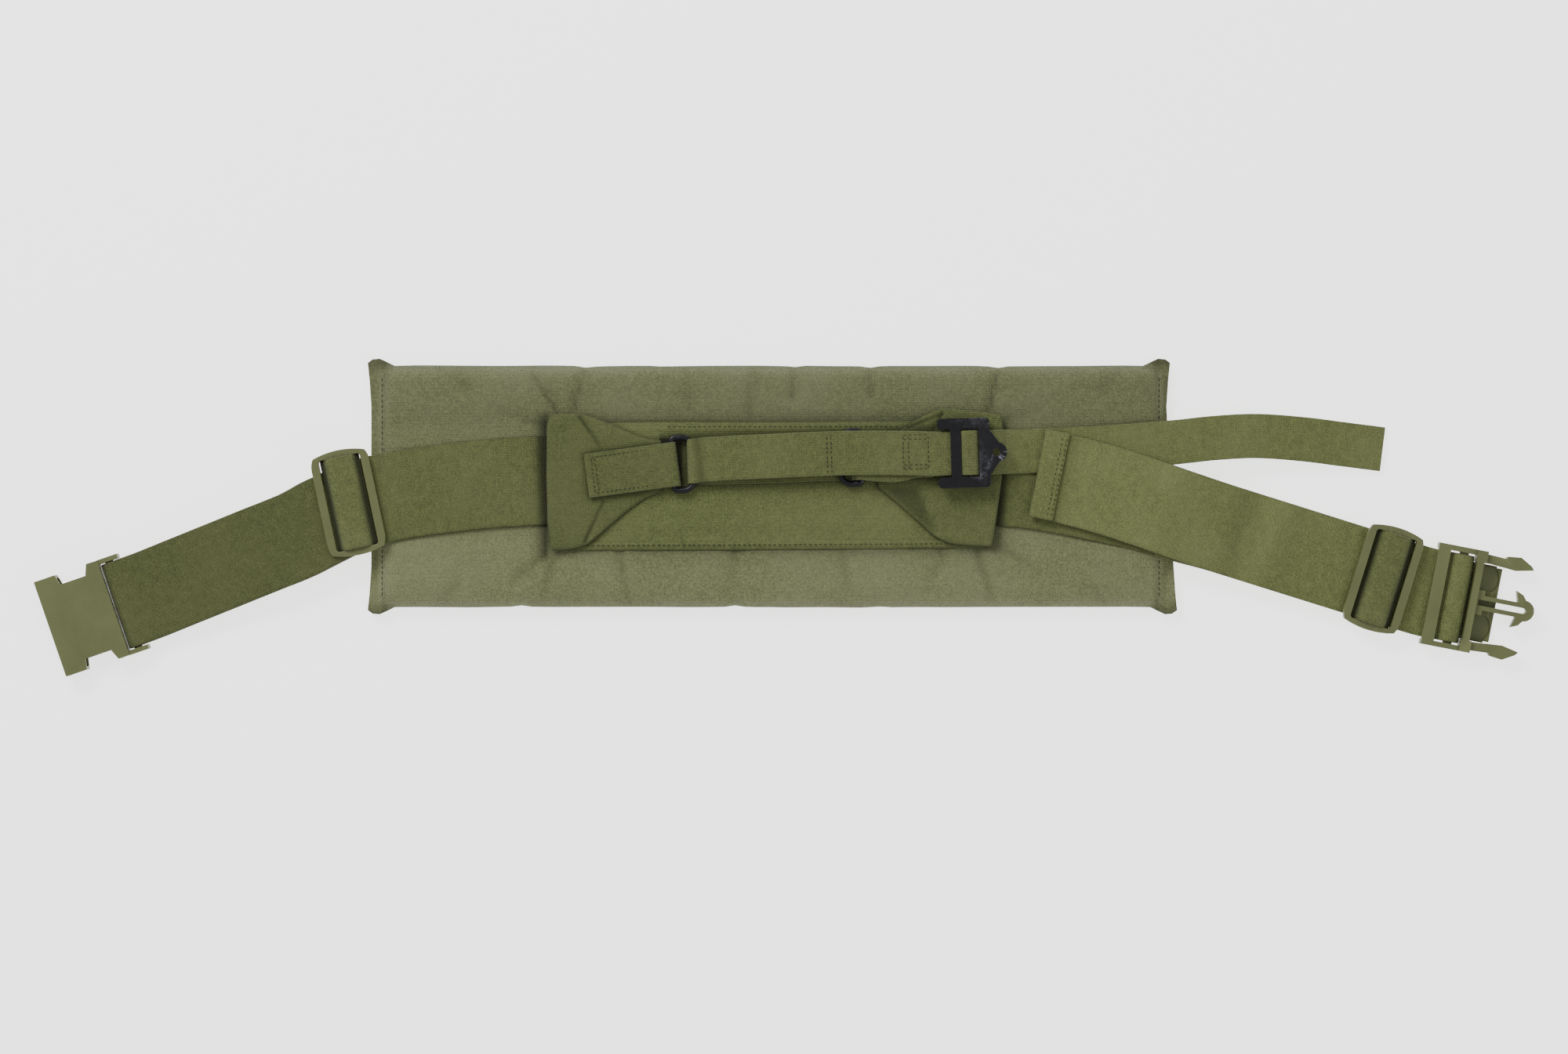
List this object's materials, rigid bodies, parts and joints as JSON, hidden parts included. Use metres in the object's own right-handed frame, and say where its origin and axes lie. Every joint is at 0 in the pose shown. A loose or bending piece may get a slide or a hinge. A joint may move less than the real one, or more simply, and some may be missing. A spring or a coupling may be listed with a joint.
{
  "type": "padded waist belt",
  "caption": "Padded waist belt with two curling pad ends, a cinch-strap wrap panel, webbing adjusters and a side-release buckle.",
  "frame": {"origin": "centre of the pad's inner face", "axes": "+X along the belt towards the male buckle, +Y towards the pad's top edge, +Z outwards from the wearer"},
  "size_m": [0.8427, 0.1788, 0.0286],
  "materials": {
    "pad_cloth": "plain weave cotton nylon duck",
    "duck": "heavy duck",
    "webbing": "woven webbing",
    "foam": "closed-cell foam",
    "green_plastic": "moulded, satin",
    "black_metal": "black enamel"
  },
  "bodies": {
    "pad": {"pad_foam_centre": "foam", "pad_cover_centre": "pad_cloth", "belt_centre": "webbing", "wrap_panel": "duck", "left_flap": "duck", "right_flap": "duck", "left_tab": "webbing", "right_tab": "webbing", "strap_lower_run": "webbing", "strap_upper_run": "webbing", "strap_tail_root": "webbing"},
    "left_end": {"pad_foam_left": "foam", "pad_cover_left": "pad_cloth", "belt_left_inner": "webbing"},
    "right_end": {"pad_foam_right": "foam", "pad_cover_right": "pad_cloth", "belt_right_inner": "webbing", "belt_right_free_end": "webbing", "free_end_hem": "webbing", "strap_tail_middle": "webbing"},
    "left_adjuster": {"left_adjuster": "green_plastic", "left_adjuster_loop": "webbing"},
    "left_wing": {"left_wing_lower": "webbing", "left_wing_upper": "webbing"},
    "female_buckle": {"female_buckle": "green_plastic", "female_buckle_loop": "webbing"},
    "right_wing": {"right_wing_lower": "webbing", "right_wing_upper": "webbing"},
    "right_adjuster": {"right_adjuster": "green_plastic", "right_adjuster_loop": "webbing"},
    "male_buckle": {"male_buckle": "green_plastic", "male_buckle_loop": "webbing"},
    "upper_arm": {"upper_arm": "green_plastic"},
    "lower_arm": {"lower_arm": "green_plastic"},
    "left_ring": {"left_ring": "black_metal", "strap_bight": "webbing"},
    "right_ring": {"right_ring": "black_metal"},
    "cinch_buckle": {"cinch_buckle": "black_metal", "strap_in_buckle": "webbing", "strap_anchor": "webbing"},
    "strap_tail": {"strap_tail": "webbing"}
  },
  "joints": [
    {"name": "left_end_curl", "type": "hinge", "parent": "pad", "child": "left_end", "pos_m": [-0.14, 0, 0.013], "axis": [0, -1, 0], "range_deg": [0, 40]},
    {"name": "right_end_curl", "type": "hinge", "parent": "pad", "child": "right_end", "pos_m": [0.14, 0, 0.013], "axis": [0, 1, 0], "range_deg": [0, 40]},
    {"name": "left_adjuster_slide", "type": "slide", "parent": "left_end", "child": "left_adjuster", "axis": [0.9877, 0.1564, 0], "range_m": [0, 0.04]},
    {"name": "left_wing_fold", "type": "hinge", "parent": "left_end", "child": "left_wing", "pos_m": [-0.2595, -0.025, 0.0139], "axis": [-0.372, 0.9282, 0], "range_deg": [-60, 110]},
    {"name": "female_buckle_fold", "type": "hinge", "parent": "left_wing", "child": "female_buckle", "pos_m": [-0.35529, -0.06338, 0.006], "axis": [-0.3256, 0.9455, 0], "range_deg": [-45, 60]},
    {"name": "right_wing_fold", "type": "hinge", "parent": "right_end", "child": "right_wing", "pos_m": [0.24, -0.0195, 0.0142], "axis": [-0.298, -0.9546, 0], "range_deg": [-60, 110]},
    {"name": "right_adjuster_slide", "type": "slide", "parent": "right_wing", "child": "right_adjuster", "axis": [-0.9521, 0.2973, 0.0715], "range_m": [0, 0.06]},
    {"name": "male_buckle_fold", "type": "hinge", "parent": "right_wing", "child": "male_buckle", "pos_m": [0.36752, -0.05926, 0.0046], "axis": [-0.1908, -0.9816, 0], "range_deg": [-45, 60]},
    {"name": "upper_arm_flex", "type": "hinge", "parent": "male_buckle", "child": "upper_arm", "pos_m": [0.39981, -0.03987, 0.006], "axis": [0, 0, -1], "range_deg": [0, 8], "stiffness_Nm_per_rad": 2},
    {"name": "lower_arm_flex", "type": "hinge", "parent": "male_buckle", "child": "lower_arm", "pos_m": [0.3902, -0.08934, 0.006], "axis": [0, 0, 1], "range_deg": [0, 8], "stiffness_Nm_per_rad": 2},
    {"name": "left_ring_swing", "type": "hinge", "parent": "pad", "child": "left_ring", "pos_m": [-0.0548, 0.0122, 0.0188], "axis": [0.0819, -0.9966, 0], "range_deg": [0, 25]},
    {"name": "right_ring_swing", "type": "hinge", "parent": "pad", "child": "right_ring", "pos_m": [0.0505, 0.0162, 0.0188], "axis": [-0.0305, 0.9995, 0], "range_deg": [0, 8]},
    {"name": "cinch_buckle_lift", "type": "hinge", "parent": "pad", "child": "cinch_buckle", "pos_m": [0.094, 0.0181, 0.02363], "axis": [0.0305, -0.9995, 0], "range_deg": [0, 25]},
    {"name": "strap_tail_fold", "type": "hinge", "parent": "right_end", "child": "strap_tail", "pos_m": [0.233, 0.0252, 0.01475], "axis": [-0.0262, -0.9997, 0], "range_deg": [-60, 110]}
  ]
}
